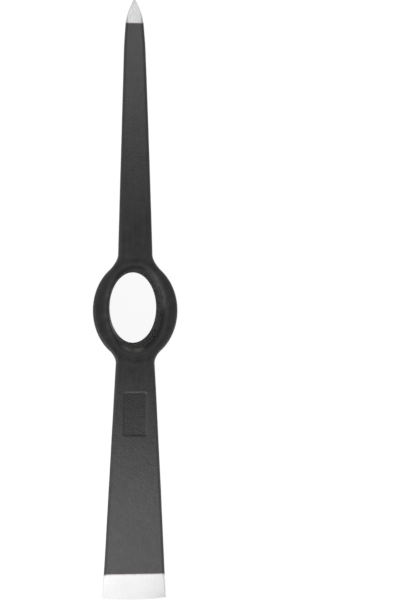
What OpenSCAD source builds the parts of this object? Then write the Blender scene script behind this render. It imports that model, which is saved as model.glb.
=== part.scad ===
// Head of a pick axe: a tapered oval eye collar with a pick arm on one side and an adze arm on the other,
// each arm ending in a harder steel end that is let into the arm and ground bright.
// The head stands on the foot of its collar: z is up along the eye, y runs out to the pick point.

/* [Eye collar] */
// Height of the collar along the eye
eye_depth = 63.5; // [54:0.5:74]
// Outside length of the collar at its top face, along the head
collar_length = 90; // [88:0.5:98]
// Outside width of the collar at its top face, across the head
collar_width = 75; // [68:0.5:86]
// Outside length of the collar at its foot
collar_foot_length = 74; // [73:0.5:82]
// Rounding of the collar's outside edge at the top
collar_edge_r = 3.5; // [1:0.5:4]
// Rounding of the collar's outside edge at the foot
collar_foot_edge_r = 2.5; // [0.5:0.25:2.75]
// Length of the eye at the foot, where it is tightest
eye_length = 65; // [56:0.5:66]
// Width of the eye at the foot, where it is tightest
eye_width = 43; // [36:0.5:48]
// Slope of the eye's wall, opening toward the top
eye_taper = 2.5; // [1:0.25:3.5]
// Rounding of the eye's mouth at the top
eye_lip_r = 3.5; // [1:0.5:4]
// Rounding of the eye's mouth at the foot
eye_foot_lip_r = 1; // [0.5:0.25:1.25]

/* [Pick arm] */
// Reach of the pick from the middle of the eye to its point
pick_reach = 285; // [250:1:330]
// Width of the pick where it leaves the collar
pick_root_width = 30.5; // [25:0.5:35]
// Width that the straight taper comes to at the ground point
pick_end_width = 18.2; // [14:0.2:22]
// Thickness of the pick where it leaves the collar
pick_root_depth = 20.6; // [17:0.2:25]
// Thickness of the pick at the ground point
pick_end_depth = 11.2; // [10:0.2:16]
// How late along the pick its thickness runs out, where 1 is an even taper
pick_depth_curve = 3.5; // [1:0.1:5]
// How far each side draws in toward the point, past the straight taper
pick_nose_draw = 1; // [0:0.1:2]
// Length over which the sides draw in
pick_nose_length = 30; // [20:1:50]
// Rounding of the pick's long edges
pick_edge_r = 2.6; // [1.5:0.1:4]
// Straight length of the pick past the collar, before it starts to bend
pick_straight = 22; // [14:1:36]
// Angle that the short bend at the root turns through
pick_bend_angle = 6.9; // [3:0.1:10]
// Radius of the short bend at the root
pick_bend_r = 250; // [180:5:400]
// Radius of the long bow that follows
pick_bow_r = 920; // [700:10:1600]
// Fillet between the pick's sides and the collar
pick_side_fillet = 10; // [5:0.5:12]
// Fillet between the pick's underside and the collar
pick_under_fillet = 8; // [3:0.5:10]

/* [Pick point] */
// Length of the bright ground point
point_length = 22; // [16:0.5:32]
// Width of the blunt end of the point
point_end_width = 1.8; // [0.8:0.1:3]
// How far the blunt end lies below the line of the pick's top face
point_end_drop = 0.8; // [0:0.1:4]
// How round the point is ground seen from the top, where 1 is straight
point_plan_curve = 1.35; // [1:0.05:2]
// How round the point is ground seen from the side, where 1 is straight
point_side_curve = 2.4; // [1:0.05:3]
// Length of the tang that sits inside the arm
point_tang_length = 18; // [10:0.5:24]
// Size of the tang at the seam, as a share of the arm
point_tang_share = 0.56; // [0.4:0.01:0.65]

/* [Adze arm] */
// Reach of the adze from the middle of the eye to its cutting edge
adze_reach = 264; // [230:1:310]
// Width of the adze where it leaves the collar
adze_root_width = 34; // [28:0.5:38]
// Width of the adze at its cutting edge
adze_edge_width = 58; // [48:0.2:66]
// Thickness of the adze where it leaves the collar
adze_root_depth = 16.6; // [14:0.2:20]
// Thickness of the adze where the ground bit starts
adze_end_depth = 6.4; // [5:0.2:9]
// Rounding of the adze's long edges
adze_edge_r = 2.2; // [1:0.1:2.4]
// Straight length of the adze past the collar, before it starts to bend
adze_straight = 1; // [0:1:16]
// Angle that the short bend at the root turns through
adze_bend_angle = 5.6; // [3:0.1:9]
// Radius of the short bend at the root
adze_bend_r = 250; // [180:5:400]
// Radius of the long bow that follows
adze_bow_r = 790; // [600:10:1400]
// Fillet between the adze's sides and the collar
adze_side_fillet = 9; // [5:0.5:11]
// Fillet between the adze's underside and the collar
adze_under_fillet = 8; // [3:0.5:10]

/* [Adze bit] */
// Length of the bright ground bit
bit_length = 24; // [16:0.5:34]
// Thickness of the cutting edge
bit_edge_depth = 0.8; // [0.5:0.1:1.5]
// How far the middle of the cutting edge stands out past its corners
bit_edge_bow = 1.6; // [0:0.1:3]
// Depth of the tongue that sits inside the arm
bit_tongue_length = 16; // [10:0.5:24]
// Thickness of the tongue at the seam, as a share of the arm
bit_tongue_share = 0.5; // [0.35:0.01:0.6]

/* [Hidden] */
// Colours of the scaled forging and of the ground steel
forged = "#3b3b3d";
ground = "#d5d6d8";
// Steps of a rounded edge, of a flat top and of a flat side in one cross section
edge_steps = 4;
flat_steps = 8;
side_steps = 3;
// Stations along an arm, along a bright end and through a fillet
arm_steps = 30;
end_steps = 8;
fillet_steps = 6;
// Angle at which a fillet meets the collar
fillet_start = 15;
// Distance over which an arm's curved foot turns into a straight cross section
foot_fade = 16;
// Stations of the seat inside the foot outline, as shares of its size
seat_shares = [0.3, 0.55, 0.8];
// Size of the inner end of the tang and of the tongue against their size at the seam
tang_tip = 0.4;
tongue_tip = 0.2;
// Share of the width that the adze tongue takes
tongue_width_share = 0.9;
// Stations round the oval of the collar and through its rounded lips
oval_steps = 72;
lip_steps = 5;
// Extra height that is cut off flat at the collar's foot and top
trim = 1;
// Where the bright ends meet the arms
point_seam = pick_reach - point_length;
bit_seam = adze_reach - bit_length;
// Half length of the collar at its top, the outermost place that an arm's foot reaches back from
collar_half = collar_length / 2;

// Value between a and b
function mix(a, b, t) = a + (b - a) * t;

// Soft step from 0 to 1
function ease(t) = let (c = min(1, max(0, t))) c * c * (3 - 2 * c);

// Distance that a rounded edge of radius r has drawn in, d past the start of the rounding
function drawn_in(r, d) = d <= 0 ? 0 : r - sqrt(max(0, r * r - d * d));

// Half length of the collar's outside at height z
function collar_r(z) =
  mix(collar_foot_length, collar_length, z / eye_depth) / 2
  - drawn_in(collar_edge_r, z - (eye_depth - collar_edge_r))
  - drawn_in(collar_foot_edge_r, collar_foot_edge_r - z);

// Half length of the eye at height z
function eye_r(z) = eye_length / 2 + z * tan(eye_taper);

// Distance from the middle of the eye to the collar's wall, at x across and z up
function collar_seat(x, z) =
  let (b = collar_r(z), a = b * collar_width / collar_length)
  b * sqrt(max(0, 1 - x * x / (a * a)));

// Drop of an arm's top face below the collar's top: a short bend and then a long bow
function bow_drop(y, start, bend_r, bend_angle, bow_r) =
  let (bend_end = start + bend_r * sin(bend_angle))
  y <= start ? 0
  : y <= bend_end ? bend_r - sqrt(bend_r * bend_r - (y - start) * (y - start))
  : let (s = y - bend_end + bow_r * sin(bend_angle))
    bend_r * (1 - cos(bend_angle)) + bow_r * cos(bend_angle) - sqrt(bow_r * bow_r - s * s);

// Rounded oblong cross section as [x, z] points
function section(half_w, top, bottom, r) =
  let (cx = half_w - r, zt = top - r, zb = bottom + r, s = edge_steps)
  concat(
    [for (i = [0:s]) [cx + r * cos(90 * i / s), zt + r * sin(90 * i / s)]],
    [for (i = [1:flat_steps - 1]) [mix(cx, -cx, i / flat_steps), top]],
    [for (i = [0:s]) [-cx + r * cos(90 + 90 * i / s), zt + r * sin(90 + 90 * i / s)]],
    [for (i = [1:side_steps - 1]) [-half_w, mix(zt, zb, i / side_steps)]],
    [for (i = [0:s]) [-cx + r * cos(180 + 90 * i / s), zb + r * sin(180 + 90 * i / s)]],
    [for (i = [1:flat_steps - 1]) [mix(-cx, cx, i / flat_steps), bottom]],
    [for (i = [0:s]) [cx + r * cos(270 + 90 * i / s), zb + r * sin(270 + 90 * i / s)]],
    [for (i = [1:side_steps - 1]) [half_w, mix(zb, zt, i / side_steps)]]
  );

// Cross section made smaller about its own middle
function shrunk(points, fx, fz) =
  let (tops = [for (p = points) p[1]], mid = (max(tops) + min(tops)) / 2)
  [for (p = points) [p[0] * fx, mid + (p[1] - mid) * fz]];

// Cross section set upright at y
function upright(points, y) = [for (p = points) [p[0], y, p[1]]];

// Cross section laid against the collar's wall, s out from it, fading to upright
function against_collar(points, s, hold) =
  [for (p = points) [p[0], collar_half + s - hold * (collar_half - collar_seat(p[0], p[1])), p[1]]];

// Faces between one cross section of n points and the next
function skin(n, from, to) = [
  for (i = [0:n - 1])
  for (face = [
    [from * n + i, from * n + (i + 1) % n, to * n + i],
    [to * n + i, from * n + (i + 1) % n, to * n + (i + 1) % n]
  ]) face
];

// Solid through a row of cross sections, closed at both ends about a middle point
module loft(rows, start_mid, end_mid) {
  n = len(rows[0]);
  last = len(rows) - 1;
  hub = (last + 1) * n;
  points = concat([for (row = rows) for (p = row) p], [start_mid, end_mid]);
  sides = [for (k = [0:last - 1]) for (face = skin(n, k, k + 1)) face];
  start = [for (i = [0:n - 1]) [hub, (i + 1) % n, i]];
  end = [for (i = [0:n - 1]) [hub + 1, last * n + i, last * n + (i + 1) % n]];
  polyhedron(points = points, faces = concat(sides, start, end), convexity = 6);
}

// Ring through a row of cross sections that closes on itself
module closed_loft(rows) {
  n = len(rows[0]);
  count = len(rows);
  points = [for (row = rows) for (p = row) p];
  faces = [for (k = [0:count - 1]) for (face = skin(n, k, (k + 1) % count)) face];
  polyhedron(points = points, faces = faces, convexity = 6);
}

// Foot of an arm on the collar: the seat, then the fillet, then the start of the straight arm
function arm_foot(half_w, top, bottom, r, side_fillet, under_fillet) =
  let (widest = section(
    half_w + side_fillet * (1 - sin(fillet_start)),
    top,
    bottom - under_fillet * (1 - sin(fillet_start)),
    r
  ))
  concat(
    [for (f = seat_shares) against_collar(shrunk(widest, f, f), 0, 1)],
    [
      for (i = [0:fillet_steps])
      let (
        t = mix(fillet_start, 90, i / fillet_steps),
        out = side_fillet * (cos(fillet_start) - cos(t)),
        grow = 1 - sin(t)
      )
      against_collar(
        section(half_w + side_fillet * grow, top, bottom - under_fillet * grow, r),
        out,
        1
      )
    ]
  );

// Pick: half width, top and underside at y from the middle of the eye
function pick_half(y) =
  let (
    t = (y - collar_half) / (point_seam - collar_half),
    n = max(0, (y - (point_seam - pick_nose_length)) / pick_nose_length)
  )
  mix(pick_root_width, pick_end_width, t) / 2 - pick_nose_draw * n * n;
function pick_top(y) =
  eye_depth - bow_drop(y, collar_half + pick_straight, pick_bend_r, pick_bend_angle, pick_bow_r);
function pick_bottom(y) =
  let (t = max(0, (y - collar_half) / (point_seam - collar_half)))
  pick_top(y) - mix(pick_root_depth, pick_end_depth, pow(t, pick_depth_curve));
function pick_section(y) = section(pick_half(y), pick_top(y), pick_bottom(y), pick_edge_r);

// Adze: half width, top and underside at y from the middle of the eye
function adze_half(y) =
  mix(adze_root_width, adze_edge_width, (y - collar_half) / (adze_reach - collar_half)) / 2;
function adze_top(y) =
  eye_depth - bow_drop(y, collar_half + adze_straight, adze_bend_r, adze_bend_angle, adze_bow_r);
function adze_bottom(y) =
  adze_top(y) - mix(adze_root_depth, adze_end_depth, (y - collar_half) / (bit_seam - collar_half));
function adze_section(y) = section(adze_half(y), adze_top(y), adze_bottom(y), adze_edge_r);

// Tang of the point, from its inner end out to the seam
function point_tang() =
  let (inner = point_seam - point_tang_length, tip = point_tang_share * tang_tip)
  [
    upright(shrunk(pick_section(inner), tip, tip), inner),
    upright(shrunk(pick_section(point_seam), point_tang_share, point_tang_share), point_seam)
  ];

// Tongue of the bit, from its inner end out to the seam
function bit_tongue() =
  let (inner = bit_seam - bit_tongue_length, tip = bit_tongue_share * tongue_tip)
  [
    upright(shrunk(adze_section(inner), tongue_width_share, tip), inner),
    upright(shrunk(adze_section(bit_seam), tongue_width_share, bit_tongue_share), bit_seam)
  ];

// Middle point of an upright cross section
function row_mid(row) =
  let (ys = [for (p = row) p[1]], zs = [for (p = row) p[2]])
  [0, max(ys), (max(zs) + min(zs)) / 2];

// Middle point of a foot's seat on the collar's wall
function seat_mid(foot) =
  let (mid = row_mid(foot[0]))
  [0, collar_seat(0, mid[2]), mid[2]];

// Rows of a list from last to first
function reversed(rows) = [for (i = [len(rows) - 1:-1:0]) rows[i]];

// Oval of half length r at height z, its width in the given proportion
function oval(r, z, proportion) =
  [for (i = [0:oval_steps - 1]) let (t = 360 * i / oval_steps) [r * proportion * cos(t), r * sin(t), z]];

// Oval collar with the tapered eye through it, its foot and top cut flat
module eye_collar() {
  outside = collar_width / collar_length;
  inside = eye_width / eye_length;
  turns = [for (i = [0:lip_steps]) 90 * i / lip_steps];
  rise = [for (t = turns) 1 - cos(t)];
  foot_lip = eye_r(0) + eye_foot_lip_r;
  top_lip = eye_r(eye_depth) + eye_lip_r;
  rows = concat(
    [oval(collar_r(0), -trim, outside)],
    [for (s = rise) let (z = collar_foot_edge_r * s) oval(collar_r(z), z, outside)],
    [for (s = reversed(rise)) let (z = eye_depth - collar_edge_r * s) oval(collar_r(z), z, outside)],
    [oval(collar_r(eye_depth), eye_depth + trim, outside)],
    [oval(top_lip, eye_depth + trim, inside)],
    [for (t = turns) oval(top_lip - eye_lip_r * sin(t), eye_depth - eye_lip_r * (1 - cos(t)), inside)],
    [
      for (t = turns)
      oval(foot_lip - eye_foot_lip_r * cos(t), eye_foot_lip_r * (1 - sin(t)), inside)
    ],
    [oval(foot_lip, -trim, inside)]
  );
  color(forged)
  difference() {
    closed_loft(rows);
    translate([-collar_length, -collar_length, -2 * trim])
    cube([2 * collar_length, 2 * collar_length, 2 * trim]);
    translate([-collar_length, -collar_length, eye_depth])
    cube([2 * collar_length, 2 * collar_length, 2 * trim]);
  }
}

// Square pick arm, bowed toward the handle, split at its end for the tang of the point
module pick_arm() {
  foot_y = collar_half + pick_side_fillet * cos(fillet_start);
  foot = arm_foot(
    pick_half(collar_half),
    pick_top(collar_half),
    pick_bottom(collar_half),
    pick_edge_r,
    pick_side_fillet,
    pick_under_fillet
  );
  run = [
    for (i = [1:arm_steps])
    let (y = mix(foot_y, point_seam, i / arm_steps), hold = 1 - ease((y - foot_y) / foot_fade))
    against_collar(pick_section(y), y - collar_half, hold)
  ];
  color(forged)
  loft(concat(foot, run, reversed(point_tang())), seat_mid(foot), row_mid(point_tang()[0]));
}

// Hard steel point with a tang let into the end of the pick arm, ground to a blunt end
module pick_point() {
  nose = [
    for (i = [0:end_steps])
    let (
      t = i / end_steps,
      y = mix(point_seam, pick_reach, t),
      half_w = mix(pick_half(point_seam), point_end_width / 2, pow(t, point_plan_curve)),
      top = pick_top(y) - point_end_drop * t * t * t,
      depth = mix(pick_end_depth, point_end_width, pow(t, point_side_curve)),
      r = mix(pick_edge_r, point_end_width / 3, t)
    )
    upright(section(half_w, top, top - depth, r), y)
  ];
  color(ground)
  loft(concat(point_tang(), nose), row_mid(point_tang()[0]), row_mid(nose[end_steps]));
}

// Broad adze arm, bowed toward the handle, split across its end for the tongue of the bit
module adze_arm() {
  foot_y = collar_half + adze_side_fillet * cos(fillet_start);
  foot = arm_foot(
    adze_half(collar_half),
    adze_top(collar_half),
    adze_bottom(collar_half),
    adze_edge_r,
    adze_side_fillet,
    adze_under_fillet
  );
  run = [
    for (i = [1:arm_steps])
    let (y = mix(foot_y, bit_seam, i / arm_steps), hold = 1 - ease((y - foot_y) / foot_fade))
    against_collar(adze_section(y), y - collar_half, hold)
  ];
  color(forged)
  rotate([0, 0, 180])
  loft(concat(foot, run, reversed(bit_tongue())), seat_mid(foot), row_mid(bit_tongue()[0]));
}

// Hard steel bit with a tongue let into the end of the adze arm, ground from below to a cutting edge
module adze_bit() {
  blade = [
    for (i = [0:end_steps])
    let (
      t = i / end_steps,
      y = mix(bit_seam, adze_reach - bit_edge_bow, t),
      half_w = adze_half(y),
      top = adze_top(mix(bit_seam, adze_reach, t)),
      depth = mix(adze_end_depth, bit_edge_depth, t),
      r = mix(adze_edge_r, bit_edge_depth / 3, t)
    )
    [
      for (p = section(half_w, top, top - depth, r))
      [p[0], y + t * bit_edge_bow * (1 - pow(p[0] / half_w, 2)), p[1]]
    ]
  ];
  color(ground)
  rotate([0, 0, 180])
  loft(concat(bit_tongue(), blade), row_mid(bit_tongue()[0]), row_mid(blade[end_steps]));
}

eye_collar();
pick_arm();
pick_point();
adze_arm();
adze_bit();
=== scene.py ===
import math

import bpy
import numpy as np
from mathutils import Matrix, Vector


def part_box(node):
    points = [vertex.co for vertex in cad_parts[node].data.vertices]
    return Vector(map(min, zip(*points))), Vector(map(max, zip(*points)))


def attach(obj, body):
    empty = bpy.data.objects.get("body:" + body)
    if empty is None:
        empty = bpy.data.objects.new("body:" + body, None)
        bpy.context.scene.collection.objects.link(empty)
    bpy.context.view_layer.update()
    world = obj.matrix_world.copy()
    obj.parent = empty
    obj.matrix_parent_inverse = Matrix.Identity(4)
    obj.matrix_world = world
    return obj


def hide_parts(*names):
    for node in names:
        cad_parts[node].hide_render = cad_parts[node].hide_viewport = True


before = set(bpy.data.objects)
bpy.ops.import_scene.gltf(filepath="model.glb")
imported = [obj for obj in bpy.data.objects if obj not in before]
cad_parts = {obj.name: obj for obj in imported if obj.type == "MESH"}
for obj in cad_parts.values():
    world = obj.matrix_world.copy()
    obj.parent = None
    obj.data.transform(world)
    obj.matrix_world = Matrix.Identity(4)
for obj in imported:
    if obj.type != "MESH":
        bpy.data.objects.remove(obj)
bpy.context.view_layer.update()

# Camera
# It looks down on the head from a metre above, a little from the left.
# The head stands left of the middle of a tall frame, with its pick at the top.
frame_height = 601
sensor = 36.0
focal_pixels = 1110.0
camera_place = Vector((-0.020, 0.0, 1.035))
camera_aim = Vector((0.0594, 0.0089, 0.035))

camera_data = bpy.data.cameras.new("camera")
camera_data.sensor_width = sensor
camera_data.lens = focal_pixels * sensor / frame_height
camera_data.clip_start = 0.01
camera = bpy.data.objects.new("camera", camera_data)
bpy.context.scene.collection.objects.link(camera)
look_back = (camera_place - camera_aim).normalized()
look_right = Vector((0, 1, 0)).cross(look_back).normalized()
look_up = look_back.cross(look_right)
camera.matrix_world = Matrix.Translation(camera_place) @ Matrix(
    (look_right, look_up, look_back)
).transposed().to_4x4()
bpy.context.scene.camera = camera
bpy.context.scene.view_settings.view_transform = "Standard"

# Forging: eye collar, pick arm and adze arm
# One carbon steel forging, drawn out from a block to both sides and pierced for the handle's eye.
# Its collar is a tapered oval ring, and both arms bow down from the collar's top toward the handle.
# Sizes are in millimetres.
mm = 0.001
eye_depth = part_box("eye_collar")[1][2] / mm
collar_half = 45.0
collar_share = 75 / 90
collar_foot_half = 37.0
collar_edge_r = 3.5
collar_foot_edge_r = 2.5
eye_foot_half = 32.5
eye_share = 43 / 65
eye_slope = math.tan(math.radians(2.5))
eye_lip_r = 5.0
eye_foot_lip_r = 1.0
eye_foot_off = np.array((-1.0, 2.6))
eye_top_off = np.array((0.0, 1.2))


def mix(a, b, t):
    """The value a share t of the way from a to b."""
    return a + (b - a) * t


def ease(t):
    """A soft step from 0 to 1."""
    t = np.clip(t, 0, 1)
    return t * t * (3 - 2 * t)


def oval_gap(x, y, half_length, share):
    """Distance outside an oval wall, below zero inside it."""
    level = np.maximum(np.hypot(x / (half_length * share), y / half_length), 1e-3)
    slope = np.hypot(x / (half_length * share) ** 2, y / half_length**2) / level
    return (level - 1) / np.maximum(slope, 1e-6)


def collar_gap(x, y, z):
    """Distance outside the collar's tapered wall."""
    return oval_gap(x, y, mix(collar_foot_half, collar_half, z / eye_depth), collar_share)


def eye_gap(x, y, z):
    """Distance outside the eye's wall. The eye was punched by hand, so it leans a little."""
    off_x, off_y = (mix(a, b, z / eye_depth) for a, b in zip(eye_foot_off, eye_top_off))
    return oval_gap(x - off_x, y - off_y, eye_foot_half + z * eye_slope, eye_share)


def rounded(a, b, r):
    """Inside both a and b, with their common edge rounded."""
    return np.minimum(-r, np.maximum(a, b)) + np.hypot(np.maximum(r + a, 0), np.maximum(r + b, 0))


def filleted(a, b, r):
    """Inside a or b, with a fillet in the corner between them."""
    return np.maximum(r, np.minimum(a, b)) - np.hypot(np.maximum(r - a, 0), np.maximum(r - b, 0))


def bow_drop(y, start, bend_r, bend_angle, bow_r):
    """Drop of an arm's top below the collar's top: a short bend and then a long bow."""
    turn = math.radians(bend_angle)
    bend_run = bend_r * math.sin(turn)
    in_bend = np.clip(y - start, 0, bend_run)
    in_bow = np.maximum(y - start - bend_run, 0) + bow_r * math.sin(turn)
    bend = bend_r - np.sqrt(bend_r**2 - in_bend**2)
    return bend + bow_r * math.cos(turn) - np.sqrt(bow_r**2 - in_bow**2)


# The pick arm is a square bar that thins toward its point, with softly rounded long edges.
point_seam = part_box("pick_arm")[1][1] / mm
pick_root_width, pick_end_width = 30.5, 18.2
pick_root_depth, pick_end_depth = 20.6, 11.2
pick_thinning = 3.5
pick_nose_length = 30.0
pick_bend_start = collar_half + 22
pick_bend_r, pick_bend_angle, pick_bow_r = 250, 6.9, 920
pick_edge_r = 2.6
pick_fillet = 7.5


def pick_half(y):
    """Half the pick's width, drawn in a little before the point."""
    nose = np.maximum(0, (y - (point_seam - pick_nose_length)) / pick_nose_length)
    along = (y - collar_half) / (point_seam - collar_half)
    return mix(pick_root_width, pick_end_width, along) / 2 - nose**2


def pick_top(y):
    """Height of the pick's face."""
    return eye_depth - bow_drop(y, pick_bend_start, pick_bend_r, pick_bend_angle, pick_bow_r)


def pick_bottom(y):
    """Height of the pick's underside."""
    t = np.maximum(0, (y - collar_half) / (point_seam - collar_half))
    return pick_top(y) - mix(pick_root_depth, pick_end_depth, t**pick_thinning)


# The adze arm is a flat blade that widens toward its edge.
# A shallow plain panel is pressed into its face.
bit_seam = -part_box("adze_arm")[0][1] / mm
adze_reach = -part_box("adze_bit")[0][1] / mm
adze_root_width, adze_edge_width = 34.0, 58.0
adze_root_depth, adze_end_depth = 16.6, 6.4
adze_bend_start = collar_half + 1
adze_bend_r, adze_bend_angle, adze_bow_r = 250, 5.6, 790
adze_edge_r = 2.2
adze_fillet = 6.0
panel_middle = -91.0
panel_half = (10.3, 19.4)
panel_depth = 0.4
panel_corner_r = 2.0
panel_rim = 2.9
panel_wall = 2.0


def adze_half(y):
    """Half the adze's width."""
    return mix(adze_root_width, adze_edge_width, (y - collar_half) / (adze_reach - collar_half)) / 2


def adze_top(y):
    """Height of the adze's face."""
    return eye_depth - bow_drop(y, adze_bend_start, adze_bend_r, adze_bend_angle, adze_bow_r)


def adze_bottom(y):
    """Height of the adze's underside."""
    along = (y - collar_half) / (bit_seam - collar_half)
    return adze_top(y) - mix(adze_root_depth, adze_end_depth, along)


def on_panel(x, y):
    """1 on the floor of the pressed panel, 0 outside it."""
    past_side = np.maximum(np.abs(x) - panel_half[0] + panel_corner_r, 0)
    past_end = np.maximum(np.abs(y - panel_middle) - panel_half[1] + panel_corner_r, 0)
    return ease((panel_rim - np.hypot(past_side, past_end)) / panel_wall)


def lean(line, y):
    """Cosine of the slope of a line along an arm."""
    return 1 / np.hypot(1, line(y + 0.5) - line(y - 0.5))


arm_start = 12


def arm(x, y, z, half, bottom, edge_r):
    """An arm with no top: between its sides and above its underside, from inside the collar outward."""
    bar = rounded(np.abs(x) - half(y), (bottom(y) - z) * lean(bottom, y), edge_r)
    return np.maximum(bar, arm_start - y)


# The arms' lines are held level past the seams, and the rounds change along the head and up the eye.
far_off = 99
run_past = 12
seam_spare = 4
edge_change_start, edge_change_length = 40, 30
lip_change_start, lip_change_height = 12, 36


def forging(x, y, z):
    """Distance outside the forging's smooth form, in millimetres."""
    pick_y = np.clip(y, 0, point_seam + run_past)
    adze_y = np.clip(-y, 0, bit_seam + run_past)
    body = rounded(collar_gap(x, y, z), -z, collar_foot_edge_r)
    pick_bar = arm(x, pick_y, z, pick_half, pick_bottom, pick_edge_r)
    adze_bar = arm(x, adze_y, z, adze_half, adze_bottom, adze_edge_r)
    body = filleted(body, np.where(y > 0, pick_bar, far_off), pick_fillet)
    body = filleted(body, np.where(y < 0, adze_bar, far_off), adze_fillet)
    pressed = panel_depth * on_panel(x, y)
    over_pick = (z - pick_top(pick_y)) * lean(pick_top, pick_y)
    over_adze = (z - adze_top(adze_y) + pressed) * lean(adze_top, adze_y)
    arm_edge_r = np.where(y > 0, pick_edge_r, adze_edge_r)
    edge_r = mix(collar_edge_r, arm_edge_r, ease((np.abs(y) - edge_change_start) / edge_change_length))
    body = rounded(body, np.where(y > 0, over_pick, over_adze), edge_r)
    lip_r = mix(eye_foot_lip_r, eye_lip_r, ease((z - lip_change_start) / lip_change_height))
    body = rounded(body, -eye_gap(x, y, z), lip_r)
    past_seams = np.maximum(y - point_seam - seam_spare, -y - bit_seam - seam_spare)
    return np.maximum(body, past_seams)


# Hammer and scale marks are shallow waves that only ever take metal off, rougher on the collar's wall.
draws = np.random.default_rng(11)
hammer_mark_depth = 0.14
scale_depth = 0.02
wall_scale_depth = 0.30


def waves(count, shortest, longest):
    """Directions and phases of a bundle of smooth waves."""
    way = draws.normal(size=(count, 3))
    way /= np.linalg.norm(way, axis=1)[:, None]
    length = draws.uniform(shortest, longest, size=(count, 1))
    return way * 2 * math.pi / length, draws.uniform(0, 2 * math.pi, size=count)


hammer_waves = waves(count=14, shortest=22, longest=60)
scale_waves = waves(count=36, shortest=3.2, longest=8)


def ripple(points, bundle):
    """Value from 0 to 1 of a bundle of waves."""
    way, phase = bundle
    total = np.sin(points @ way.T + phase).sum(axis=1) / math.sqrt(len(phase))
    return np.clip(0.5 + 0.28 * total, 0, 1)


wall_in = 4
wall_top_clear, wall_top_fade = 4, 10
wall_end, wall_end_fade = 50, 14
seam_clear, seam_fade, foot_fade = 1, 12, 3


def on_wall(x, y, z):
    """1 on the rough outer wall of the collar, 0 elsewhere."""
    near_wall = ease((collar_gap(x, y, z) + wall_in) / wall_in)
    below_top = ease((eye_depth - wall_top_clear - z) / wall_top_fade)
    return near_wall * below_top * ease((wall_end - np.abs(y)) / wall_end_fade)


def forged_skin(points):
    """Distance outside the forging with its hammer and scale marks."""
    x, y, z = points.T
    off_point, off_bit = point_seam - seam_clear - y, bit_seam - seam_clear + y
    calm = ease(off_point / seam_fade) * ease(off_bit / seam_fade) * ease(z / foot_fade)
    hammered = hammer_mark_depth * ripple(points, hammer_waves)
    scaled = (scale_depth + wall_scale_depth * on_wall(x, y, z)) * ripple(points, scale_waves)
    return forging(x, y, z) + (hammered + scaled) * calm


def smooth_skin(points):
    """Distance outside the forging before its marks."""
    return forging(*points.T)


def steepest(points, gap):
    """Direction in which the distance grows, and how fast."""
    step = 0.05
    ways = np.eye(3) * step
    return np.stack([gap(points + w) - gap(points - w) for w in ways], axis=1) / (2 * step)


def drawn_on(points, rounds, gap):
    """Points brought onto the forging's surface."""
    for _ in range(rounds):
        way = steepest(points, gap)
        step = gap(points) / np.maximum((way**2).sum(axis=1), 0.2)
        points = points - way * step[:, None]
    return points


# The skin is a net of small faces, with a point in every cell of a fine grid that the surface passes through.
net_step = 0.9
net_margin = 2
net_past_seam = 6
smooth_rounds, smooth_share = 5, 0.6
net_side = collar_half * collar_share + net_margin
net_low = np.array((-net_side, -bit_seam - net_past_seam, -net_margin))
net_high = np.array((net_side, point_seam + net_past_seam, eye_depth + net_margin))
grid = [np.arange(low, high, net_step) for low, high in zip(net_low, net_high)]
inside = forging(*np.meshgrid(*grid, indexing="ij")) < 0
corners = np.zeros([n - 1 for n in inside.shape], dtype=int)
for i in (0, 1):
    for j in (0, 1):
        for k in (0, 1):
            nx, ny, nz = corners.shape
            corners += inside[i : i + nx, j : j + ny, k : k + nz]
crossed = (corners > 0) & (corners < 8)
number = np.full(crossed.shape, -1)
number[crossed] = np.arange(crossed.sum())
net = drawn_on(net_low + (np.argwhere(crossed) + 0.5) * net_step, 4, smooth_skin)
quads = []
for axis in range(3):
    full = np.moveaxis(inside, axis, 0)
    ids = np.moveaxis(number, axis, 0)
    i, j, k = np.nonzero(full[:-1, 1:-1, 1:-1] != full[1:, 1:-1, 1:-1])
    corner_ids = ids[i, j, k], ids[i, j + 1, k], ids[i, j + 1, k + 1], ids[i, j, k + 1]
    quad = np.stack(corner_ids, axis=1)
    turned = full[i, j + 1, k + 1] == (axis == 1)
    quad[turned] = quad[turned][:, ::-1]
    quads.append(quad)
quads = np.concatenate(quads)
links = np.concatenate([quads[:, pair] for pair in ([0, 1], [1, 2], [2, 3], [3, 0])])
link_count = np.bincount(links[:, 0], minlength=len(net))
for _ in range(smooth_rounds):
    sums = [np.bincount(links[:, 0], net[links[:, 1], c], len(net)) for c in range(3)]
    middle = np.stack(sums, axis=1)
    net = drawn_on(mix(net, middle / link_count[:, None], smooth_share), 2, smooth_skin)
net = drawn_on(net, 3, forged_skin)


def parted(points, faces, side):
    """The points, and the faces below and above the line where side is zero, cut along it."""
    points, low, high, cuts = list(points), [], [], {}
    above = side >= 0
    for face in faces:
        signs = above[face]
        if signs.all():
            high.append(face)
        elif not signs.any():
            low.append(face)
        else:
            parts = ([], [])
            for a, b in zip(face, face[1:] + face[:1]):
                parts[int(above[a])].append(a)
                if above[a] != above[b]:
                    key = (min(a, b), max(a, b))
                    if key not in cuts:
                        cuts[key] = len(points)
                        points.append(mix(points[a], points[b], side[a] / (side[a] - side[b])))
                    parts[0].append(cuts[key])
                    parts[1].append(cuts[key])
            low.append(parts[0])
            high.append(parts[1])
    return np.array(points), low, high


def closed(points, faces):
    """The points and faces with every open loop filled by a fan about its middle."""
    points, faces = list(points), list(faces)
    ways = {(a, b) for face in faces for a, b in zip(face, face[1:] + face[:1])}
    following = {b: a for a, b in sorted(ways) if (b, a) not in ways}
    while following:
        start, here = following.popitem()
        loop = [start]
        while here != start:
            loop.append(here)
            here = following.pop(here)
        points.append(np.mean([points[i] for i in loop], axis=0))
        faces += [[a, b, len(points) - 1] for a, b in zip(loop, loop[1:] + loop[:1])]
    return np.array(points), faces


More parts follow.
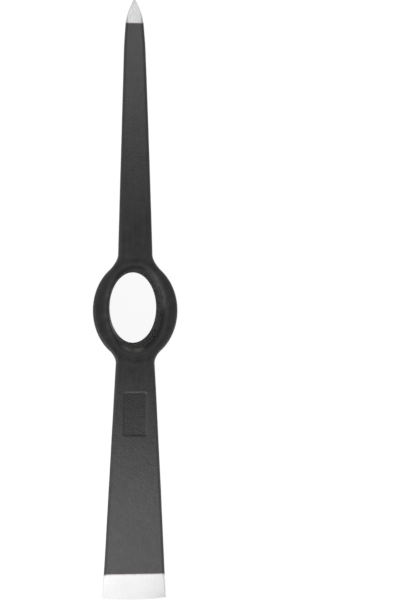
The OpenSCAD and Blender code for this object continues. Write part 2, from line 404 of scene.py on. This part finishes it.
# The net is cut at the two seams and along the collar's wall, and each cut is closed.
skin, faces, _ = parted(net, quads.tolist(), net[:, 1] - point_seam)
skin, faces, _ = parted(skin, faces, -skin[:, 1] - bit_seam)
seat_gap = 0.6
skin, collar_faces, arm_faces = parted(skin, faces, collar_gap(*skin.T) - seat_gap)
pick_faces = [face for face in arm_faces if skin[face[0], 1] > 0]
adze_faces = [face for face in arm_faces if skin[face[0], 1] < 0]
skin, collar_faces = closed(skin, collar_faces)
skin, pick_faces = closed(skin, pick_faces)
skin, adze_faces = closed(skin, adze_faces)


def unit(vectors):
    """The vectors at length 1."""
    return vectors / np.maximum(np.linalg.norm(vectors, axis=1), 1e-6)[:, None]


def turned_between(way):
    """How far the smooth skin's direction turns across a short step."""
    return unit(steepest(skin + way, smooth_skin)) - unit(steepest(skin - way, smooth_skin))


# Where the coat differs, each from 0 to 1: along sharp edges and in the eye, where painted shade darkens it,
# on the eye's lip, where a painted highlight lightens it, on the panel, on rough walls and past the seams of
# the bright ends.
skin_normals = unit(steepest(skin, forged_skin))
probe = 0.7
skin_bend = sum(turned_between(way) @ way / (2 * probe**2) for way in np.eye(3) * probe)
skin_edge = ease((skin_bend - 0.05) / 0.25)
past_eye = eye_gap(*skin.T)
turn = np.degrees(np.arctan2(skin[:, 1], skin[:, 0] / eye_share))
# Painted shade inside the eye, weaker toward its left side.
skin_inner = ease((7 - past_eye) / 6) * (1 - 0.6 * ease((np.abs(turn) - 115) / 40))
# Painted highlights on the eye's lip, lighter where light falls: on its upper right, near the top on its
# left, and in a crescent low in the eye.
upper_right = ease((turn + 10) / 40) * ease((80 - turn) / 40)
lower = ease((turn + 135) / 35) * ease((-60 - turn) / 25)
left = ease((np.abs(turn) - 125) / 35)
near_top = ease((skin[:, 2] - 45) / 10)
part_way = ease(skin[:, 2] / 12)
lip_highlight = np.minimum(1.4 * upper_right * part_way + 0.5 * left * near_top, 1) * ease((5.0 - past_eye) / 3)
lower_highlight = 0.8 * lower * part_way * ease((3.8 - past_eye) / 3.4)
skin_highlight = np.minimum(0.55 * lip_highlight + lower_highlight, 1) * ease((past_eye + 0.8) / 1.2)
skin_panel = on_panel(skin[:, 0], skin[:, 1]) * (skin_normals[:, 2] > 0.5)
in_eye = ease((2.5 - past_eye) / 2) * ease((eye_depth - 6 - skin[:, 2]) / 8)
skin_wall = np.maximum(on_wall(*skin.T), in_eye)
under_pick = pick_top(np.clip(skin[:, 1], 0, point_seam)) - skin[:, 2]
under_adze = adze_top(np.clip(-skin[:, 1], 0, bit_seam)) - skin[:, 2]
point_ground_over, bit_ground_over = 2.0, 1.6
past_point_seam = skin[:, 1] - point_seam + point_ground_over * ease(1 - under_pick / pick_edge_r)
past_bit_seam = -skin[:, 1] - bit_seam + bit_ground_over * ease(1 - under_adze / adze_edge_r)
skin_seam = np.clip((np.maximum(past_point_seam, past_bit_seam) + 2.9) / 4, 0, 1)
skin_marks = {
    "edge": skin_edge,
    "inner": skin_inner,
    "seam": skin_seam,
    "painted_highlight": skin_highlight,
    "panel": skin_panel,
    "wall": skin_wall,
}


def forged_piece(name, faces, material):
    """A piece of the forging as an object, with the whole skin's shading."""
    used = np.unique(np.concatenate(faces))
    place = np.full(len(skin), -1)
    place[used] = np.arange(len(used))
    mesh = bpy.data.meshes.new(name)
    mesh.from_pydata((skin[used] * mm).tolist(), [], [place[face].tolist() for face in faces])
    for mark, values in skin_marks.items():
        spots = mesh.attributes.new(mark, "FLOAT", "POINT").data
        spots.foreach_set("value", values[used].astype(np.float32))
    mesh.normals_split_custom_set_from_vertices(skin_normals[used].tolist())
    mesh.materials.append(material)
    piece = bpy.data.objects.new(name, mesh)
    bpy.context.scene.collection.objects.link(piece)
    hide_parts(name.removesuffix("_skin"))
    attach(piece, "root")


def node(material, kind, inputs=None, **settings):
    """A node of a material, with its settings, and with values or links on its inputs."""
    made = material.node_tree.nodes.new(kind)
    for name, value in settings.items():
        setattr(made, name, value)
    for name, value in (inputs or {}).items():
        if isinstance(value, bpy.types.NodeSocket):
            material.node_tree.links.new(value, made.inputs[name])
        else:
            made.inputs[name].default_value = value
    return made


def new_material(name):
    """An empty node material and its shader."""
    material = bpy.data.materials.new(name)
    material.use_nodes = True
    return material, material.node_tree.nodes["Principled BSDF"]


def noise(material, place, scale, detail=3.0, roughness=0.55):
    """A cloudy value from 0 to 1."""
    return node(
        material,
        "ShaderNodeTexNoise",
        {"Vector": place, "Scale": scale, "Detail": detail, "Roughness": roughness},
    ).outputs[0]


def ramp(material, value, stops):
    """Colours along a value, as a list of place and colour."""
    made = node(material, "ShaderNodeValToRGB", {0: value})
    bar = made.color_ramp
    bar.elements[0].position, bar.elements[0].color = stops[0][0], (*stops[0][1], 1)
    bar.elements[1].position, bar.elements[1].color = stops[-1][0], (*stops[-1][1], 1)
    for place, colour in stops[1:-1]:
        bar.elements.new(place).color = (*colour, 1)
    return made.outputs[0]


def spread(material, value, low, high, to_low, to_high):
    """A value carried from one range to another."""
    return node(
        material, "ShaderNodeMapRange", {0: value, 1: low, 2: high, 3: to_low, 4: to_high}
    ).outputs[0]


def blend_colour(material, share, a, b):
    """A share of colour b over colour a."""
    return node(material, "ShaderNodeMix", {0: share, 6: a, 7: b}, data_type="RGBA").outputs[2]


def times(material, a, b):
    """The product of two values."""
    return node(material, "ShaderNodeMath", {0: a, 1: b}, operation="MULTIPLY").outputs[0]


def bump(material, height, distance, strength, under=None):
    """Relief from a height, over the relief under it."""
    inputs = {"Height": height, "Distance": distance, "Strength": strength}
    if under is not None:
        inputs["Normal"] = under
    return node(material, "ShaderNodeBump", inputs).outputs[0]


def lengthwise(material, place):
    """The place, drawn out along the head so that a pattern runs lengthwise."""
    return node(material, "ShaderNodeMapping", {"Vector": place, "Scale": (1.0, 0.05, 1.0)}).outputs[0]


def mark_of(material, name):
    """One of the skin's marks, as a value from 0 to 1."""
    return node(material, "ShaderNodeAttribute", attribute_name=name).outputs["Fac"]


def ground_look(material, place, dark_mark):
    """Colour, shine and lengthwise marks of belt ground steel."""
    marks = noise(material, lengthwise(material, place), 700, 4, 0.65)
    clouds = noise(material, place, 45, 3)
    bright = ramp(material, marks, [(0.3, (dark_mark,) * 3), (0.62, (0.80, 0.80, 0.805))])
    dulled = ramp(material, clouds, [(0.3, (0.66, 0.655, 0.655)), (0.7, (0.78, 0.78, 0.785))])
    colour = blend_colour(material, 0.4, bright, dulled)
    shine = spread(material, marks, 0.3, 0.7, 0.30, 0.42)
    return colour, shine, marks


coat_grey = (0.025, 0.025, 0.0253, 1)
pebble_grey = (0.030, 0.030, 0.030, 1)
# The next three colours are painted light: painted shade for the sharp edges, painted shade for the inside of
# the eye, and a lighter grey painted highlight for the eye's lip.
painted_edge_shade = (0.004, 0.004, 0.0042, 1)
painted_eye_shade = (0.003, 0.003, 0.0029, 1)
painted_highlight_grey = (0.155, 0.151, 0.147, 1)
panel_black = (0.004, 0.004, 0.004, 1)
heat_brown = (0.050, 0.024, 0.020, 1)
seam_brown = (0.20, 0.15, 0.135, 1)


def forged_black(name, pitting, shade):
    """Thin black coat over forge scale, duller on edges and in the eye, and ground off past the seam. Painted
    shade darkens the edges and the eye, and a painted highlight lightens the eye's lip.
    """
    material, shader = new_material(name)
    place = node(material, "ShaderNodeTexCoord").outputs["Object"]
    edge, inner, seam, painted_highlight, panel, wall = (mark_of(material, mark) for mark in skin_marks)
    patches = noise(material, place, 40, 4)
    clouds = noise(material, place, 150, 5, 0.6)
    grain = noise(material, place, 1300, 3, 0.6)
    pebbles = noise(material, place, 520, 3, 0.6)
    stipple = noise(material, place, 900, 2)
    streaks = noise(material, lengthwise(material, place), 420, 3, 0.6)

    coat = ramp(material, patches, [(0.3, (0.008, 0.008, 0.0082)), (0.7, (0.015, 0.015, 0.0152))])
    worn = ramp(material, clouds, [(0.35, (0.007, 0.007, 0.0072)), (0.75, (0.022, 0.022, 0.022))])
    colour = blend_colour(material, 0.5, coat, worn)
    streaked = spread(material, streaks, 0.32, 0.68, 0.5 * shade, 1.5 * shade)
    colour = blend_colour(material, streaked, colour, coat_grey)
    pebbled = times(material, wall, spread(material, pebbles, 0.40, 0.66, 0.0, 1.0))
    colour = blend_colour(material, pebbled, colour, pebble_grey)
    # Painted shade: the colour is darkened along the sharp edges.
    colour = blend_colour(material, times(material, edge, 0.45), colour, painted_edge_shade)
    # Painted shade: the inside of the eye is darkened.
    colour = blend_colour(material, times(material, inner, 0.85), colour, painted_eye_shade)
    # Painted highlight: the eye's lip is lightened toward a grey.
    highlight_share = times(material, painted_highlight, spread(material, clouds, 0.4, 0.6, 0.35, 1.0))
    colour = blend_colour(material, times(material, highlight_share, 0.8), colour, painted_highlight_grey)
    colour = blend_colour(material, times(material, panel, 0.8), colour, panel_black)
    colour = blend_colour(material, spread(material, seam, 0.25, 0.65, 0.0, 0.7), colour, heat_brown)
    steel = ground_look(material, place, 0.5)[0]
    steel = blend_colour(material, spread(material, seam, 0.75, 1.0, 0.6, 0.0), steel, seam_brown)
    bared = spread(material, seam, 0.72, 0.78, 0.0, 1.0)
    colour = blend_colour(material, bared, colour, steel)

    shine = spread(material, clouds, 0.3, 0.7, 0.32, 0.42)
    for mark, duller in ((edge, 0.16), (inner, 0.5)):
        added = {0: mark, 1: duller, 2: shine}
        shine = node(material, "ShaderNodeMath", added, operation="MULTIPLY_ADD").outputs[0]

    pits = node(material, "ShaderNodeTexVoronoi", {"Vector": place, "Scale": 420.0}).outputs["Distance"]
    wall_pebbles = times(material, wall, pebbles)
    relief = bump(material, grain, 0.0001, 0.6)
    relief = bump(material, noise(material, place, 480, 3), 0.0003, 0.4, relief)
    relief = bump(material, clouds, 0.0004, 0.3, relief)
    relief = bump(material, pits, 0.0002, pitting, relief)
    relief = bump(material, wall_pebbles, 0.0014, 0.9, relief)
    relief = bump(material, times(material, inner, wall_pebbles), 0.0030, 1.0, relief)
    relief = bump(material, times(material, panel, stipple), 0.0006, 0.35, relief)
    looks = {"Base Color": colour, "Roughness": shine, "Metallic": bared, "Normal": relief}
    for socket, value in looks.items():
        material.node_tree.links.new(value, shader.inputs[socket])
    shader.inputs["Specular IOR Level"].default_value = 0.9
    return material


collar_black = forged_black("forged_black_collar", pitting=0.35, shade=0.0)
arm_black = forged_black("forged_black_arm", pitting=0.08, shade=0.5)
forged_piece("eye_collar_skin", collar_faces, collar_black)
forged_piece("pick_arm_skin", pick_faces, arm_black)
forged_piece("adze_arm_skin", adze_faces, arm_black)

# Pick point
# A harder steel end welded into the pick, ground bright by hand to a blunt point.
# The belt has left fine marks that run toward the tip.
pick_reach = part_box("pick_point")[1][1] / mm
point_end_half = 0.9
point_end_drop = 0.8
point_edge_r = 0.6
point_width_taper, point_depth_taper = 1.35, 2.4
point_stations = 33
ground_in = 0.3
sharp_angle = math.radians(40)


def ring(half_width, top, bottom, r, edge_steps=6, flat_steps=18, side_steps=7):
    """Rounded oblong cross section as x and z, from the top right corner round."""
    quarter = np.radians(np.linspace(0, 90, edge_steps + 1))
    across = np.linspace(half_width - r, r - half_width, flat_steps + 1)[1:-1]
    upward = np.linspace(bottom + r, top - r, side_steps + 1)[1:-1]
    rows = []
    for corner, (sx, sz) in enumerate(((1, 1), (-1, 1), (-1, -1), (1, -1))):
        turn = quarter + math.pi / 2 * corner
        mid_z = top - r if sz > 0 else bottom + r
        mid_x = sx * (half_width - r)
        rows.append(np.stack([mid_x + r * np.cos(turn), mid_z + r * np.sin(turn)], axis=1))
        if corner == 0:
            rows.append(np.stack([across, np.full_like(across, top)], axis=1))
        elif corner == 1:
            rows.append(np.stack([np.full_like(upward, -half_width), upward[::-1]], axis=1))
        elif corner == 2:
            rows.append(np.stack([-across, np.full_like(across, bottom)], axis=1))
        else:
            rows.append(np.stack([np.full_like(upward, half_width), upward], axis=1))
    return np.concatenate(rows)


def ground_piece(name, rows, material):
    """A bright end as an object, skinned through its cross sections from the seam outward."""
    count, around = len(rows), len(rows[0])
    points = np.concatenate(rows)
    faces = []
    for k in range(count - 1):
        for i in range(around):
            j = (i + 1) % around
            here, there = k * around, (k + 1) * around
            faces.append([here + i, here + j, there + j, there + i])
    if points[-1, 1] > 0:
        faces = [face[::-1] for face in faces]
    mesh = bpy.data.meshes.new(name)
    points, faces = closed(points, faces)
    mesh.from_pydata((points * mm).tolist(), [], faces)
    mesh.polygons.foreach_set("use_smooth", [True] * len(mesh.polygons))
    mesh.set_sharp_from_angle(angle=sharp_angle)
    mesh.materials.append(material)
    piece = bpy.data.objects.new(name, mesh)
    bpy.context.scene.collection.objects.link(piece)
    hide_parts(name.removesuffix("_ground"))
    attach(piece, "root")


speck_grey = (0.22, 0.21, 0.20, 1)


def ground_steel(name, dark_mark, rough_sides):
    """Belt ground steel, with dark specks left on rough sides."""
    material, shader = new_material(name)
    place = node(material, "ShaderNodeTexCoord").outputs["Object"]
    colour, shine, marks = ground_look(material, place, dark_mark)
    relief = bump(material, marks, 0.00005, 0.5)
    shader.inputs["Metallic"].default_value = 1.0
    if rough_sides:
        normal = node(material, "ShaderNodeNewGeometry").outputs["Normal"]
        facing = node(material, "ShaderNodeSeparateXYZ", {0: normal})
        sideways = node(material, "ShaderNodeMath", {0: facing.outputs[0]}, operation="ABSOLUTE").outputs[0]
        on_side = spread(material, sideways, 0.75, 0.9, 0.0, 1.0)
        specks = ramp(material, noise(material, place, 950, 4), [(0.46, (0, 0, 0)), (0.60, (1, 1, 1))])
        specks = times(material, on_side, specks)
        colour = blend_colour(material, specks, colour, speck_grey)
        relief = bump(material, specks, 0.0002, 0.6, relief)
        torn = spread(material, on_side, 0.0, 1.0, 1.0, 0.5)
        material.node_tree.links.new(torn, shader.inputs["Metallic"])
    for socket, value in {"Base Color": colour, "Roughness": shine, "Normal": relief}.items():
        material.node_tree.links.new(value, shader.inputs[socket])
    return material


seam_half = float(pick_half(point_seam))
point_rows = []
for t in np.linspace(0, 1, point_stations):
    y = mix(point_seam, pick_reach, t)
    half_width = mix(seam_half, point_end_half, t**point_width_taper)
    top = float(pick_top(y)) - point_end_drop * t**3
    depth = mix(pick_end_depth, 2 * point_end_half, t**point_depth_taper)
    edge_r = mix(pick_edge_r, point_edge_r, ease(t / ground_in))
    section = ring(half_width, top, top - depth, edge_r)
    point_rows.append(np.insert(section, 1, y, axis=1))
point_steel = ground_steel("ground_steel_point", dark_mark=0.40, rough_sides=False)
ground_piece("pick_point_ground", point_rows, point_steel)

# Adze bit
# A harder steel bit welded across the end of the adze, ground from below to a slightly bowed edge.
# Its two narrow sides are left rough from the shears.
bit_edge_depth = 0.8
bit_edge_r = 0.5
bit_edge_r_share = 0.33
bit_edge_bow = 1.6
bit_stations = 31
bit_rows = []
for t in np.linspace(0, 1, bit_stations):
    y = mix(bit_seam, adze_reach - bit_edge_bow, t)
    half_width = float(adze_half(y))
    height = float(adze_top(mix(bit_seam, adze_reach, t)))
    depth = mix(adze_end_depth, bit_edge_depth, t)
    edge_r = min(mix(adze_edge_r, bit_edge_r, ease(t / ground_in)), bit_edge_r_share * depth)
    section = ring(half_width, height, height - depth, edge_r, flat_steps=40)
    bowed = y + t * bit_edge_bow * (1 - (section[:, 0] / half_width) ** 2)
    bit_rows.append(np.stack([section[:, 0], -bowed, section[:, 1]], axis=1))
bit_steel = ground_steel("ground_steel_bit", dark_mark=0.64, rough_sides=True)
ground_piece("adze_bit_ground", bit_rows, bit_steel)

# Floor and light
# A plain white floor under the head and a white room round it.
# Two broad soft lamps stand beyond the two ends of the head and a weaker one to the left.
# Two small low lamps rake across the collar's rough wall.
floor_reach = 4.0
floor_colour = (0.8, 0.8, 0.8, 1)
shadow_colour = (0.14, 0.14, 0.14, 1)
full_white = (1, 1, 1, 1)
floor_glow = 0.92
floor_mesh = bpy.data.meshes.new("floor")
floor_corners = [(x * floor_reach, y * floor_reach, 0) for x, y in ((-1, -1), (1, -1), (1, 1), (-1, 1))]
floor_mesh.from_pydata(floor_corners, [], [(0, 1, 2, 3)])
floor = bpy.data.objects.new("floor", floor_mesh)
bpy.context.scene.collection.objects.link(floor)
floor_white = bpy.data.materials.new("floor_white")
floor_white.use_nodes = True
floor_white.node_tree.nodes.clear()


def seen(holder):
    """1 on what the camera, a reflection or clear glass sees, 0 on soft light."""
    path = node(holder, "ShaderNodeLightPath")
    seen_so_far = path.outputs["Is Camera Ray"]
    for ray in ("Is Glossy Ray", "Is Transmission Ray"):
        either = {0: seen_so_far, 1: path.outputs[ray]}
        seen_so_far = node(holder, "ShaderNodeMath", either, operation="MAXIMUM").outputs[0]
    return seen_so_far


plain = node(floor_white, "ShaderNodeBsdfDiffuse", {"Color": floor_colour}).outputs[0]
shaded = node(floor_white, "ShaderNodeBsdfDiffuse", {"Color": shadow_colour}).outputs[0]
glow = node(floor_white, "ShaderNodeEmission", {"Color": full_white, "Strength": floor_glow}).outputs[0]
white = node(floor_white, "ShaderNodeAddShader", {0: shaded, 1: glow}).outputs[0]
floor_look = node(floor_white, "ShaderNodeMixShader", {0: seen(floor_white), 1: plain, 2: white}).outputs[0]
node(floor_white, "ShaderNodeOutputMaterial", {"Surface": floor_look})
floor_mesh.materials.append(floor_white)

# The room looks plain white. In reflections its light comes from the upper part of the walls beyond the
# two ends, and the ceiling, the skirting and the walls beside the head are dim.
world = bpy.data.worlds.new("room")
world.use_nodes = True
world.node_tree.nodes.clear()
room_light = 0.75
skirting = 0.30
ceiling = 0.16
way = node(world, "ShaderNodeSeparateXYZ", {0: node(world, "ShaderNodeTexCoord").outputs["Generated"]})


def wall_light(stops):
    """The light of a wall by height, as a list of height and light."""
    return ramp(world, way.outputs["Z"], [(height, (light,) * 3) for height, light in stops])


end_walls = wall_light([(0.0, skirting), (0.30, 0.75), (0.55, 1.0), (0.95, ceiling)])
side_walls = wall_light([(0.0, 0.45), (0.25, 0.30), (0.95, ceiling)])
aside = node(world, "ShaderNodeMath", {0: way.outputs["X"]}, operation="ABSOLUTE").outputs[0]
walls = blend_colour(world, spread(world, aside, 0.2, 0.65, 0.0, 1.0), end_walls, side_walls)
is_camera = node(world, "ShaderNodeLightPath").outputs["Is Camera Ray"]
walls = node(world, "ShaderNodeMath", {0: walls, 1: is_camera}, operation="MAXIMUM").outputs[0]
soft = node(world, "ShaderNodeBackground", {"Color": full_white, "Strength": room_light}).outputs[0]
bright = node(world, "ShaderNodeBackground", {"Color": full_white, "Strength": walls}).outputs[0]
room = node(world, "ShaderNodeMixShader", {0: seen(world), 1: soft, 2: bright}).outputs[0]
node(world, "ShaderNodeOutputWorld", {"Surface": room})
bpy.context.scene.world = world

lamp_aim = Vector((0, 0, 0.04))
for name, place, size, watts in (
    ("lamp_adze", (-0.45, -0.92, 1.05), (1.3, 0.9), 4.5),
    ("lamp_pick", (-0.25, 1.05, 0.95), (1.3, 0.8), 1.5),
    ("lamp_left", (-0.95, 0.10, 1.00), (0.5, 0.9), 0.6),
    ("lamp_low_right", (0.90, -0.62, 0.34), (0.4, 0.4), 1.3),
    ("lamp_low_left", (-0.90, -0.62, 0.34), (0.4, 0.4), 1.1),
):
    lamp_data = bpy.data.lights.new(name, "AREA")
    lamp_data.shape = "RECTANGLE"
    lamp_data.size, lamp_data.size_y = size
    lamp_data.energy = watts
    lamp = bpy.data.objects.new(name, lamp_data)
    lamp.location = place
    lamp.rotation_euler = (lamp_aim - Vector(place)).to_track_quat("-Z", "Y").to_euler()
    bpy.context.scene.collection.objects.link(lamp)
